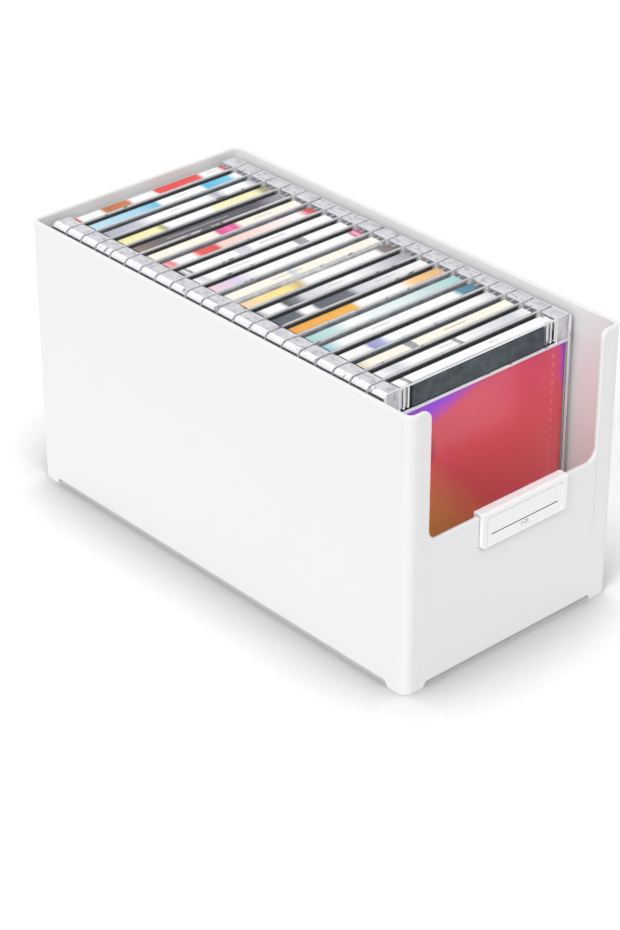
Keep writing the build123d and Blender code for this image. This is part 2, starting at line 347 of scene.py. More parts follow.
def clearPlasticMaterial(name, look, middle, top):
    # clear polystyrene: nearly open seen straight on, with a painted white reflection at a grazing angle;
    # the hinge corners get a painted mottled lavender glow for the light caught between many walls,
    # and painted highlights make the panel bright along its upper edge and where the side wall stands end-on
    # behind it
    material, surface = newMaterial(name)
    n = Nodes(material)
    place = n.objectPlace((middle, 0, top))
    x, y, z = n.split(place)
    # painted light: a mottled lavender glow in the hinge corners, for light caught between the walls
    outside = n.math("GREATER_THAN", n.math("ABSOLUTE", x), look["earFrom"])
    ears = n.math("MULTIPLY", outside, n.math("GREATER_THAN", z, -look["earDepth"]))
    coarse = n.noise(n.objectPlace((0, 0, 0), (1.0, 0.6, 0.35)), 330.0, 2.0, 0.6)
    fine = n.noise(place, 1300.0, 2.0, 0.6)
    mottle = n.math("ADD", n.math("MULTIPLY", coarse, 0.75), n.math("MULTIPLY", fine, 0.25))
    shade = n.ramp(mottle, [(0.36, look["caughtLightLow"]), (0.48, look["caughtLightMiddle"]), (0.62, look["caughtLightHigh"])])
    n.link(n.mix(ears, look["tint"], shade), surface.inputs["Base Color"])
    # painted reflection: the clear plastic turns white and opaque at a grazing angle
    facing = n.tree.nodes.new("ShaderNodeLayerWeight")
    facing.inputs["Blend"].default_value = 0.35
    edgeOnly = look["edgeAlpha"] - look["faceAlpha"]
    grazing = n.math("MULTIPLY", n.math("POWER", facing.outputs["Facing"], 5.0), edgeOnly)
    caught = n.math("ADD", n.math("MULTIPLY", ears, look["caughtLightAlpha"]), look["faceAlpha"])
    # painted highlight along the panel's upper edge and where a side wall stands end-on behind it
    across = n.split(n.objectNormal())[1]
    walls = n.math("GREATER_THAN", n.math("ABSOLUTE", x), look["wallFrom"])
    borders = n.math("ADD", walls, n.band(z, *look["panelTop"], 0.2 * mm), clamp=True)
    endOn = n.math("MULTIPLY", borders, n.math("GREATER_THAN", n.math("ABSOLUTE", across), 0.7))
    caught = n.math("ADD", caught, n.math("MULTIPLY", endOn, look["borderHighlight"]))
    n.link(n.math("ADD", grazing, caught, clamp=True), surface.inputs["Alpha"])
    surface.inputs["Roughness"].default_value = look["roughness"]
    surface.inputs["Specular IOR Level"].default_value = 0.8
    return material


# painted highlights and a painted dark line for the edges of clear walls
clearRim = {
    "dark": linear(150, 152, 164),
    "light": linear(252, 252, 255),
    "outline": linear(84, 88, 92),
    "outlineFrom": 61.95 * mm,  # outermost corners, from the middle
    "alpha": 0.95,
}


def clearRimMaterial(name, look, middle):
    # painted highlights for the light that the thin edges of clear walls gather: pale, with darker stretches
    # here and there, and a painted dark line of shade along the outermost corners
    material, surface = newMaterial(name)
    n = Nodes(material)
    place = n.objectPlace((middle, 0, 0), (0.6, 1.0, 0.6))
    tone = n.ramp(n.noise(place, 200.0, 2.0), [(0.3, look["dark"]), (0.37, look["light"])])
    x, y, z = n.split(n.objectPlace((middle, 0, 0)))
    # painted shade: a dark line along the outermost corners
    outer = n.math("GREATER_THAN", n.math("ABSOLUTE", x), look["outlineFrom"])
    n.link(n.mix(outer, tone, look["outline"]), surface.inputs["Base Color"])
    patchy = n.math("MULTIPLY", n.noise(place, 700.0, 1.0), 0.2)
    n.link(n.math("ADD", patchy, look["alpha"] - 0.1, clamp=True), surface.inputs["Alpha"])
    surface.inputs["Roughness"].default_value = 0.12
    surface.inputs["Specular IOR Level"].default_value = 0.8
    return material


trayLooks = {
    "blackTray": {"colour": linear(10, 10, 12), "roughness": 0.35},
    "slateTray": {"colour": linear(68, 78, 84), "roughness": 0.3},
    "greyTray": {"colour": linear(120, 123, 130), "roughness": 0.25},
    "whiteTray": {"colour": linear(226, 226, 228), "roughness": 0.25},
}


def trayMaterial(name, look):
    # moulded tray plastic, a little uneven in tone, with a fine bump
    material, surface = newMaterial(name)
    n = Nodes(material)
    place = n.objectPlace()
    small = n.math("MULTIPLY", n.noise(place, 170.0, 3.0, 0.6), 0.7)
    tone = n.math("ADD", small, n.math("MULTIPLY", n.noise(place, 40.0, 2.0), 0.3))
    dark = tuple(c * 0.62 for c in look["colour"])
    light = tuple(min(c * 1.45, 0.9) for c in look["colour"])
    n.link(n.ramp(tone, [(0.35, dark), (0.65, light)]), surface.inputs["Base Color"])
    surface.inputs["Roughness"].default_value = look["roughness"]
    surface.inputs["Specular IOR Level"].default_value = 0.25
    n.link(n.bump(n.noise(place, 1500.0, 2.0), 0.1, 0.000004), surface.inputs["Normal"])
    return material


discLook = {
    "roughness": 0.16,
    "track": 0.4 * mm,  # from ring to ring
    "hub": 22.0 * mm,  # radius of the grey zone
    "hubGrey": linear(176, 178, 184),
    "paintedRainbow": (  # painted rainbow reflection: share of a turn and colour
        (0.0, (206, 209, 214)), (0.09, (226, 214, 224)), (0.15, (206, 226, 214)), (0.22, (210, 212, 218)),
        (0.45, (222, 222, 226)), (0.56, (230, 224, 206)), (0.63, (206, 220, 232)), (0.72, (208, 210, 215)),
        (1.0, (206, 209, 214)),
    ),
}


def discMaterial(name, look, middle, height):
    # pressed disc: fine rings round the hole, a painted rainbow reflection in soft coloured rays and a grey
    # zone round the hub
    material, surface = newMaterial(name)
    n = Nodes(material)
    x, y, z = n.split(n.objectPlace((middle, 0, height)))
    radius = n.math("SQRT", n.math("ADD", n.math("MULTIPLY", x, x), n.math("MULTIPLY", z, z)))
    angle = n.math("MULTIPLY", n.math("ADD", n.math("ARCTAN2", z, x), math.pi), 1 / (2 * math.pi))
    # painted reflection: soft rainbow colours by angle round the disc
    paintedRainbow = n.ramp(angle, [(share, linear(*colour)) for share, colour in look["paintedRainbow"]])
    inner = n.math("LESS_THAN", radius, look["hub"])
    n.link(n.mix(inner, paintedRainbow, look["hubGrey"]), surface.inputs["Base Color"])
    rings = n.math("SINE", n.math("MULTIPLY", radius, 2 * math.pi / look["track"]))
    n.link(n.bump(rings, 0.12, 0.000006), surface.inputs["Normal"])
    surface.inputs["Metallic"].default_value = 0.75
    surface.inputs["Roughness"].default_value = look["roughness"]
    return material


paperLook = {
    "width": 98.3 * mm,  # of the folded spine
    "strip": 2.2 * mm,  # what counts as the upper fold, from the spine down
    "lowerFold": 137.0 * mm,
    "sheetBand": (-100.0 * mm, -60.0 * mm, 2.0 * mm),  # on the back: from, to, soft edge
    "dashes": (5.3 * mm, 6.5 * mm, 0.3 * mm),  # on the spine: from, to, soft edge
    "dashTurns": 4200.0,  # radians a metre
    "roughness": 0.42,
}


def paperMaterial(name, look, stops, marks, place, back):
    # printed card: colours run along the folded spine as soft-edged blocks with a streaky print
    # tone and a short run of small grey dashes, and the sheet behind carries a wide band
    material, surface = newMaterial(name)
    n = Nodes(material)
    place = n.objectPlace(place)
    x, y, z = n.split(place)
    along = n.math("ADD", n.math("MULTIPLY", x, 1 / look["width"]), 0.5)
    streak = n.noise(n.objectPlace((0, 0, 0), (1.0, 0.15, 0.15)), 420.0, 3.0, 0.7)
    waver = n.math("MULTIPLY", n.math("SUBTRACT", n.noise(place, 160.0, 2.0), 0.5), 0.03)
    design = n.ramp(n.math("ADD", along, waver), stops)
    toned = n.mix(n.above(streak, 0.55, 0.7), design, (0.3, 0.3, 0.34), "MULTIPLY")
    run = n.math("MULTIPLY", n.band(along, marks[0], marks[1], 0.004), n.band(y, *look["dashes"]))
    dash = n.math("GREATER_THAN", n.math("SINE", n.math("MULTIPLY", x, look["dashTurns"])), 0.1)
    toned = n.mix(n.math("MULTIPLY", n.math("MULTIPLY", run, dash), 0.75), toned, linear(*marks[2]))
    sheet = n.mix(n.band(z, *look["sheetBand"]), *back)
    folded = n.math("GREATER_THAN", z, -look["strip"])
    lower = n.math("LESS_THAN", z, -look["lowerFold"])
    n.link(n.mix(n.math("ADD", folded, lower, clamp=True), sheet, toned), surface.inputs["Base Color"])
    surface.inputs["Roughness"].default_value = look["roughness"]
    n.link(n.bump(n.noise(place, 900.0, 2.0), 0.08, 0.000006), surface.inputs["Normal"])
    return material


drawerWhite = whitePlasticMaterial("drawerWhite", whitePlastic)
clipWhite = whitePlasticMaterial("clipWhite", clipPlastic)
rowLow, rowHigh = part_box("case_02_shell")
rowMiddle, rowTop = (rowLow[0] + rowHigh[0]) / 2, rowHigh[2]
clearWall = clearPlasticMaterial("clearWall", clearPlastic, rowMiddle, rowTop)
clearRims = clearRimMaterial("clearRims", clearRim, rowMiddle)
trays = {name: trayMaterial(name, look) for name, look in trayLooks.items()}
print("finishes ready")

stageLook = {
    "floor": 3.0,
    "floorTone": 0.86,
    "floorLift": ((0.0, 0.2), (0.25, 0.0), (0.5, -0.26), (0.72, 0.02), (1.0, 0.26)),  # openness, added light: painted light above zero, painted shadow below
    "floorReach": 0.068,  # how far the painted shadow band goes, in metres
    "world": 0.58,
    "lamps": (  # name, direction, strength, angle
        ("keyLamp", (-0.78, -0.22, 0.6), 1.2, 24),
        ("fillLamp", (-0.12, -0.55, 0.82), 0.5, 30),
        ("backLamp", (0.45, 0.55, 0.7), 0.25, 60),
    ),
    "camera": (-0.8223, -0.90685, 0.7570),
    "cameraTurn": (-42.03, 30.37),  # azimuth and elevation
    "lens": 107.34,
}


def seenRays(tree):
    # 1 for what is seen straight, mirrored or through clear plastic, 0 for what lights the object
    path = tree.nodes.new("ShaderNodeLightPath")
    seen = path.outputs["Is Camera Ray"]
    for ray in ("Is Glossy Ray", "Is Transmission Ray"):
        either = tree.nodes.new("ShaderNodeMath")
        either.operation = "MAXIMUM"
        tree.links.new(seen, either.inputs[0])
        tree.links.new(path.outputs[ray], either.inputs[1])
        seen = either.outputs[0]
    return seen


def buildFloor(look):
    # a pale sheet whose seen brightness follows how open each spot is: painted light raises it in the open
    # and in the gap under the drawer, and a painted shadow lowers it in a soft band beside it
    half = look["floor"] / 2
    mesh = bpy.data.meshes.new("floor")
    corners = [(-half, -half, 0), (half, -half, 0), (half, half, 0), (-half, half, 0)]
    mesh.from_pydata(corners, [], [(0, 1, 2, 3)])
    floor = bpy.data.objects.new("floor", mesh)
    bpy.context.scene.collection.objects.link(floor)
    material = bpy.data.materials.new("floorWhite")
    material.use_nodes = True
    tree = material.node_tree
    tree.nodes.clear()
    output = tree.nodes.new("ShaderNodeOutputMaterial")
    matt = tree.nodes.new("ShaderNodeBsdfDiffuse")
    matt.inputs["Color"].default_value = (*[look["floorTone"]] * 3, 1)
    lift = tree.nodes.new("ShaderNodeEmission")
    # painted shadow beside the drawer and painted light in the gap under it, both from how open each spot is
    near = tree.nodes.new("ShaderNodeAmbientOcclusion")
    near.inputs["Distance"].default_value = look["floorReach"]
    near.samples = 8
    soft = tree.nodes.new("ShaderNodeFloatCurve")
    points = soft.mapping.curves[0].points
    soft.mapping.use_clip = False
    for place, spot in enumerate(look["floorLift"]):
        point = points[place] if place < 2 else points.new(*spot)
        point.location = spot
        point.handle_type = "AUTO_CLAMPED"
    soft.mapping.update()
    strength = tree.nodes.new("ShaderNodeMath")
    strength.operation = "MULTIPLY"
    add = tree.nodes.new("ShaderNodeAddShader")
    tree.links.new(near.outputs["AO"], soft.inputs["Value"])
    tree.links.new(seenRays(tree), strength.inputs[0])
    tree.links.new(soft.outputs[0], strength.inputs[1])
    tree.links.new(strength.outputs[0], lift.inputs["Strength"])
    tree.links.new(matt.outputs[0], add.inputs[0])
    tree.links.new(lift.outputs[0], add.inputs[1])
    tree.links.new(add.outputs[0], output.inputs["Surface"])
    mesh.materials.append(material)


def buildLight(look):
    # an even pale surround, seen as plain white, and very wide lamps
    world = bpy.data.worlds.new("studio")
    bpy.context.scene.world = world
    world.use_nodes = True
    tree = world.node_tree
    tree.nodes.clear()
    output = tree.nodes.new("ShaderNodeOutputWorld")
    blend = tree.nodes.new("ShaderNodeMixShader")
    for socket, level in ((1, look["world"]), (2, 1.0)):
        light = tree.nodes.new("ShaderNodeBackground")
        light.inputs["Color"].default_value = (1, 1, 1, 1)
        light.inputs["Strength"].default_value = level
        tree.links.new(light.outputs[0], blend.inputs[socket])
    tree.links.new(seenRays(tree), blend.inputs[0])
    tree.links.new(blend.outputs[0], output.inputs["Surface"])
    for name, direction, energy, width in look["lamps"]:
        lamp = bpy.data.lights.new(name, "SUN")
        lamp.energy = energy
        lamp.angle = math.radians(width)
        holder = bpy.data.objects.new(name, lamp)
        holder.rotation_mode = "QUATERNION"
        holder.rotation_quaternion = Vector(direction).to_track_quat("Z", "Y")
        bpy.context.scene.collection.objects.link(holder)


def buildCamera(look):
    # stands at a point and looks along the direction that azimuth and elevation give
    camera = bpy.data.cameras.new("camera")
    camera.lens = look["lens"]
    camera.sensor_width = 36
    camera.clip_start, camera.clip_end = 0.01, 20
    holder = bpy.data.objects.new("camera", camera)
    bpy.context.scene.collection.objects.link(holder)
    holder.location = look["camera"]
    azimuth, elevation = (math.radians(angle) for angle in look["cameraTurn"])
    level = math.cos(elevation)
    back = Vector((math.sin(azimuth) * level, -math.cos(azimuth) * level, math.sin(elevation)))
    holder.rotation_mode = "QUATERNION"
    holder.rotation_quaternion = (-back).to_track_quat("-Z", "Y")
    bpy.context.scene.camera = holder
    bpy.context.scene.view_settings.view_transform = "Standard"
    bpy.context.scene.cycles.transparent_max_bounces = 40


buildFloor(stageLook)
buildLight(stageLook)
buildCamera(stageLook)
print("stage, lamps and camera ready")

drawerLook = {
    "wall": 2.5 * mm,
    "corner": 5.0 * mm,
    "lip": 81.0 * mm,
    "pillar": 14.0 * mm,
    "pillarRound": 5.0 * mm,
    "cutoutRound": 6.0 * mm,
    "rimRound": 1.0 * mm,
    "footHeight": 3.0 * mm,
    "footLength": 13.0 * mm,
    "footSlope": 1.5 * mm,
    "footRound": 0.5 * mm,
    "floorTop": 5.5 * mm,
    "floorRound": 0.8 * mm,
    "evenRow": 20.0 * mm,  # height of the first level row of points above the feet
}


def planPath(low, high, corner, s):
    # point and outward direction on a rounded rectangle at path length s, counted from the
    # middle of its back side, clockwise seen from above (back, right, front, left)
    halfX, halfY = (high[0] - low[0]) / 2, (high[1] - low[1]) / 2
    straightX, straightY = 2 * (halfX - corner), 2 * (halfY - corner)
    quarter = corner * math.pi / 2
    middle = np.array([(high[0] + low[0]) / 2, (high[1] + low[1]) / 2])
    sideX, sideY = straightX / 2, straightY / 2
    starts = np.cumsum([0, sideX, quarter, straightY, quarter, straightX, quarter, straightY, quarter])
    total = starts[-1] + sideX
    s = np.mod(np.asarray(s, float), total)
    leg = np.searchsorted(starts, s, side="right") - 1
    along = s - starts[leg]
    originX = np.array([0, sideX, halfX, halfX, sideX, -sideX, -halfX, -halfX, -sideX])
    originY = np.array([halfY, halfY, sideY, -sideY, -halfY, -halfY, -sideY, sideY, halfY])
    turning = np.isin(leg, [1, 3, 5, 7])
    centreX = np.array([0, 1, 1, 1, 1, -1, -1, -1, -1])[leg] * sideX
    centreY = np.array([0, 1, 1, -1, -1, -1, -1, 1, 1])[leg] * sideY
    startAngle = np.radians(np.array([90, 90, 0, 0, -90, -90, -180, -180, -270]))[leg]
    angle = np.where(turning, startAngle - along / corner, startAngle)
    normal = np.stack([np.cos(angle), np.sin(angle)], axis=-1)
    direction = np.stack([np.sin(startAngle), -np.cos(startAngle)], axis=-1)
    straight = np.stack([originX[leg], originY[leg]], axis=-1) + direction * along[:, None]
    bent = np.stack([centreX, centreY], axis=-1) + corner * normal
    return np.where(turning[:, None], bent, straight) + middle, normal, total


def rimLine(look, low, high):
    # the rim in the unrolled wall as (path length, height): level, over the pillar's shoulder,
    # down the cut-out, along the lip and up again; with it the direction away from the plastic
    # and the path length at which each point's column meets the ground
    _, _, total = planPath(low, high, look["corner"], [0.0])
    front = total / 2
    halfX, halfY = (high[0] - low[0]) / 2, (high[1] - low[1]) / 2
    halfCut = halfX - look["pillar"]
    rim, lip = high[2], look["lip"]
    top, bottom = look["pillarRound"], look["cutoutRound"]
    sideStart = halfX - look["corner"]
    sideFirst = sideStart + look["corner"] * math.pi / 2
    sideEnd = sideFirst + 2 * (halfY - look["corner"])
    frontFirst = sideEnd + look["corner"] * math.pi / 2
    foot, slope, even = look["footLength"] - look["corner"], look["footSlope"] / 2, look["evenRow"]
    level = np.concatenate([
        [0.0, sideStart / 2, sideStart - foot - slope, sideStart - foot + slope],
        np.linspace(sideStart, sideFirst, 9),
        [sideFirst + foot - slope, sideFirst + foot + slope],
        np.linspace(sideFirst + foot + even, sideEnd - foot - even, 6),
        [sideEnd - foot - slope, sideEnd - foot + slope],
        np.linspace(sideEnd, frontFirst, 9),
    ])
    level = np.stack([level, np.full(len(level), rim)], axis=1)
    shoulder = arcPoints((front - halfCut - top, rim - top), top, 90, 0, 8)
    drop = np.stack([np.full(9, front - halfCut), np.linspace(rim - top, lip + bottom, 11)[1:-1]], axis=1)
    hollow = arcPoints((front - halfCut + bottom, lip + bottom), bottom, 180, 270, 8)
    lipRun = np.stack([np.linspace(front - halfCut + bottom, front, 8)[1:], np.full(7, lip)], axis=1)
    half = np.concatenate([level, shoulder, drop, hollow, lipRun])
    rimCurve = np.concatenate([half, half[::-1][1:-1] * np.array([-1, 1]) + np.array([total, 0])])
    step = np.roll(rimCurve, -1, axis=0) - np.roll(rimCurve, 1, axis=0)
    step[:, 0] = (step[:, 0] + total / 2) % total - total / 2
    step /= np.linalg.norm(step, axis=1)[:, None]
    away = np.stack([-step[:, 1], step[:, 0]], axis=1)
    ground = half[:, 0].copy()
    fanStart, fanEnd = len(level), len(level) + len(shoulder) + len(drop)
    ground[fanStart:fanEnd + 1] = np.linspace(frontFirst, front - halfCut, fanEnd - fanStart + 2)[1:]
    return rimCurve, away, np.concatenate([ground, total - ground[::-1][1:-1]])


def buildDrawer(look):
    # one closed surface: the rim line carried outwards and down to the feet on the outside, and
    # over a rounded edge (a quarter circle each side) down to the floor on the inside
    low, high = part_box("drawer_body")
    rimCurve, away, ground = rimLine(look, low, high)
    wall, rimRound = look["wall"], look["rimRound"]
    footRound, floorRound = look["footRound"], look["floorRound"]
    turn = np.linspace(0, math.pi / 2, 6)

    def placed(s, z, inward):
        point, normal, _ = planPath(low, high, look["corner"], s)
        return np.concatenate([point - normal * inward, (z * np.ones(len(point)))[:, None]], axis=1)

    point, _, _ = planPath(low, high, look["corner"], ground)
    half = np.array([(high[0] - low[0]) / 2, (high[1] - low[1]) / 2])
    middle = np.array([(low[0] + high[0]) / 2, (low[1] + high[1]) / 2])
    fromCorner = np.max(half - np.abs(point - middle), axis=1)
    raised = np.clip((fromCorner - look["footLength"] + look["footSlope"] / 2) / look["footSlope"], 0, 1)
    footLine = raised * look["footHeight"]

    rows = []
    footEnd, slope = look["footLength"], look["footSlope"] / 2
    for inward, height in ((footEnd + slope, look["footHeight"]), (footEnd - slope, footLine)):
        pad = np.sign(point - middle) * np.minimum(np.abs(point - middle), half - inward) + middle
        rows.append(np.concatenate([pad, (height * np.ones(len(pad)))[:, None]], axis=1))
    for angle in turn[::2]:
        rise = footRound * (1 - math.cos(angle))
        rows.append(placed(ground, footLine + rise, footRound * (1 - math.sin(angle))))
    rows.append(placed(ground, look["evenRow"], 0.0))
    base = rimCurve - away * rimRound
    for angle, side in [(a, 0) for a in turn] + [(a, 1) for a in turn[::-1]]:
        spot = base + away * rimRound * math.sin(angle)
        inward = rimRound * (1 - math.cos(angle))
        rows.append(placed(spot[:, 0], spot[:, 1], wall - inward if side else inward))
    rows.append(placed(ground, look["evenRow"], wall))
    for angle in turn:
        rise = floorRound * (1 - math.sin(angle))
        rows.append(placed(ground, look["floorTop"] + rise, wall + floorRound * (1 - math.cos(angle))))
    columns = len(ground)
    faces = gridFaces(len(rows), columns, closeColumns=True)
    faces += [list(range(columns)), list(range((len(rows) - 1) * columns, len(rows) * columns))]
    shell = (np.concatenate(rows), faces, 0)
    makePiece("drawerShell", [shell], [drawerWhite], "drawer", ("drawer_body",), 34)


buildDrawer(drawerLook)
print("drawer ready")

clipLook = {
    "edge": 0.2 * mm,
    "cardCorner": 0.5 * mm,
    "cardEdge": 0.05 * mm,
    "paper": linear(255, 255, 255),
    "ink": linear(40, 42, 46),
    "ruledLine": (0.34, 0.02),  # its height and half its thickness, as shares of the card
    "margin": 0.05,
    "number": "1-21",
    "numberHeight": 3.0 * mm,
    "numberFromBottom": 1.7 * mm,
    "printHeight": 0.01 * mm,
}


def labelMaterial(name, look, low, high):
    # matt card with fine fibres and one ruled line low across it
    material, surface = newMaterial(name)
    n = Nodes(material)
    width, height = high[0] - low[0], high[2] - low[2]
    x, y, z = n.split(n.objectPlace(((low[0] + high[0]) / 2, 0, low[2])))
    level, thick = look["ruledLine"]
    line = n.band(z, (level - thick) * height, (level + thick) * height, 0.1 * mm)
    inside = n.math("LESS_THAN", n.math("ABSOLUTE", x), width * (0.5 - look["margin"]))
    shaded = tuple(c * 0.95 for c in look["paper"])
    fibres = n.mix(n.noise(n.objectPlace(), 2400.0, 3.0), shaded, look["paper"])
    n.link(n.mix(n.math("MULTIPLY", line, inside), fibres, look["ink"]), surface.inputs["Base Color"])
    surface.inputs["Roughness"].default_value = 0.75
    n.link(n.bump(n.noise(n.objectPlace(), 2400.0, 3.0), 0.2, 0.00001), surface.inputs["Normal"])
    return material


def buildClip(look):
    # the solid holder with softened edges, a card with rounded corners, and the number on it
    mergedCopy("index_clip", "indexHolder", "index_clip", [clipWhite], look["edge"])
    low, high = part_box("index_label")
    corners = [(low[0], low[2]), (high[0], low[2]), (high[0], high[2]), (low[0], high[2])]
    outline = roundedOutline(corners, [look["cardCorner"]] * 4, 4)
    card = prism(outline, low[1], high[1], look["cardEdge"], 1)
    paper = labelMaterial("labelCard", look, low, high)
    makePiece("labelPaper", [(*card, 0)], [paper], "index_clip", ("index_label",), 30)

    # plain numbers of the first and last case, as thin print on the card
    curve = bpy.data.curves.new("rowNumbers", "FONT")
    curve.body = look["number"]
    curve.size = look["numberHeight"]
    curve.align_x = "CENTER"
    curve.extrude = look["printHeight"]
    holder = bpy.data.objects.new("rowNumbersText", curve)
    mesh = bpy.data.meshes.new_from_object(holder)
    bpy.data.objects.remove(holder)
    points = np.zeros(len(mesh.vertices) * 3, dtype=np.float32)
    mesh.vertices.foreach_get("co", points)
    points = points.reshape(-1, 3).astype(float)
    baseline = low[2] + look["numberFromBottom"]
    across, up, out = points.T
    middle, face = (low[0] + high[0]) / 2, low[1] - look["printHeight"]
    points = np.stack([across + middle, face - out, up + baseline], axis=1)
    mesh.vertices.foreach_set("co", points.astype(np.float32).ravel())
    ink, surface = newMaterial("labelInk")
    n = Nodes(ink)
    faded = tuple(c * 1.5 for c in look["ink"])
    n.link(n.mix(n.noise(n.objectPlace(), 3000.0), look["ink"], faded), surface.inputs["Base Color"])
    surface.inputs["Roughness"].default_value = 0.6
    mesh.materials.clear()
    mesh.materials.append(ink)
    finishPiece("rowNumbers", mesh, "index_clip", (), 30)


buildClip(clipLook)
print("index holder ready")

# places inside a case: across from its middle, back from its cover, up from its opening edge
caseLook = {
    "height": 142.0 * mm,
    "edge": 0.22 * mm,
    "rimEdge": 0.35 * mm,
    "thin": 1.5 * mm,  # clear faces narrower than this look like edges
    "paperHalf": 49.15 * mm,
    "sheetHalf": 58.95 * mm,
    "sheetStep": 128.4 * mm,  # where the card gets wider
    "sheetBack": 8.95 * mm,
    "foldFront": 2.6 * mm,
    "foldTop": 140.55 * mm,
    "foldBottom": 1.45 * mm,
    "foldRound": 0.35 * mm,
    "paper": 0.3 * mm,
    "trayHalf": 60.45 * mm,
    "trayPlate": (7.5 * mm, 8.7 * mm, 1.7 * mm, 129.6 * mm),  # front, back, low, high
    "bar": (0.0, 8.7 * mm, 129.6 * mm, 140.3 * mm),
    "barHalf": 49.15 * mm,
    "disc": (7.5 * mm, 60.0 * mm, 5.6 * mm, 6.8 * mm),  # hole, edge, front, back
    "discRound": 0.3 * mm,
    "discHeight": 65.65 * mm,
    "booklet": (1.3 * mm, 2.3 * mm, 6.1 * mm, 126.9 * mm),
    "bookletHalf": 60.0 * mm,
    "leaves": 4,
    "leafCreep": 0.12 * mm,  # each leaf ends this far short of the one outside it
    "inkGain": 1.3,  # how much more vivid the spines are than their written colours
}


def foldedSheet(look):
    # the card's line in depth and height (front edge of the upper fold, back, down, front edge of
    # the lower fold) gets a thickness and a half width at each point, and is carried across
    back, top, bottom, r = look["sheetBack"], look["foldTop"], look["foldBottom"], look["foldRound"]
    upper = arcPoints((back - r, top - r), r, 90, 0, 4)
    lower = arcPoints((back - r, bottom + r), r, 0, -90, 4)
    step = [(back, look["sheetStep"]), (back, look["sheetStep"] - 0.01 * mm)]
    line = np.concatenate([[(look["foldFront"], top)], upper, step, lower, [(look["foldFront"], bottom)]])
    half = np.where(np.arange(len(line)) < len(upper) + 2, look["paperHalf"], look["sheetHalf"])
    heading = np.gradient(line, axis=0)
    heading /= np.linalg.norm(heading, axis=1)[:, None]
    normal = np.stack([-heading[:, 1], heading[:, 0]], axis=1) * look["paper"] / 2
    outer, inner = line - normal, line + normal
    ring = [(-half, outer), (half, outer), (half, inner), (-half, inner)]
    points = np.stack([np.column_stack([across, edge]) for across, edge in ring], axis=1).reshape(-1, 3)
    count = len(line)
    ends = [[0, 1, 2, 3], list(range(4 * count - 4, 4 * count))]
    return points, gridFaces(count, 4, closeColumns=True) + ends


def ringBody(look, steps):
    # the disc: a rounded rectangle in radius and depth, turned once round the hole's axis
    inner, outer, front, back = look["disc"]
    corners = [(inner, front), (outer, front), (outer, back), (inner, back)]
    profile = roundedOutline(corners, [look["discRound"]] * 4, 2)
    radius, depth = profile.T
    angle = np.linspace(0, 2 * math.pi, steps, endpoint=False)[:, None]
    height = look["discHeight"] + np.sin(angle) * radius
    points = np.stack([np.cos(angle) * radius, depth + angle * 0, height], axis=-1)
    return points.reshape(-1, 3), gridFaces(steps, len(profile), closeRows=True, closeColumns=True)


def bookletBody(look):
    # plan outline of nested leaves: rounded at the fold on the left, each leaf ending a little
    # short of the one outside it on the right; carried up from the lower to the upper edge
    front, back, low, high = look["booklet"]
    half, leaves = look["bookletHalf"], look["leaves"]
    bulge = (back - front) / 2
    fold = arcPoints((-half + bulge, (front + back) / 2), bulge, 270, 90, 8)
    level = np.repeat(np.linspace(back, front, 2 * leaves + 1), 2)[1:-1]
    depth = np.repeat(np.abs(np.arange(2 * leaves) - leaves + 0.5), 2)
    creep = half - (leaves - 0.5 - depth) * look["leafCreep"]
    outline = np.concatenate([fold, np.stack([creep, level], axis=1)])
    count = len(outline)
    points = np.concatenate([np.column_stack([outline, np.full(count, z)]) for z in (low, high)])
    ends = [list(range(count)), list(range(count, 2 * count))]
    return points, gridFaces(2, count, closeColumns=True) + ends


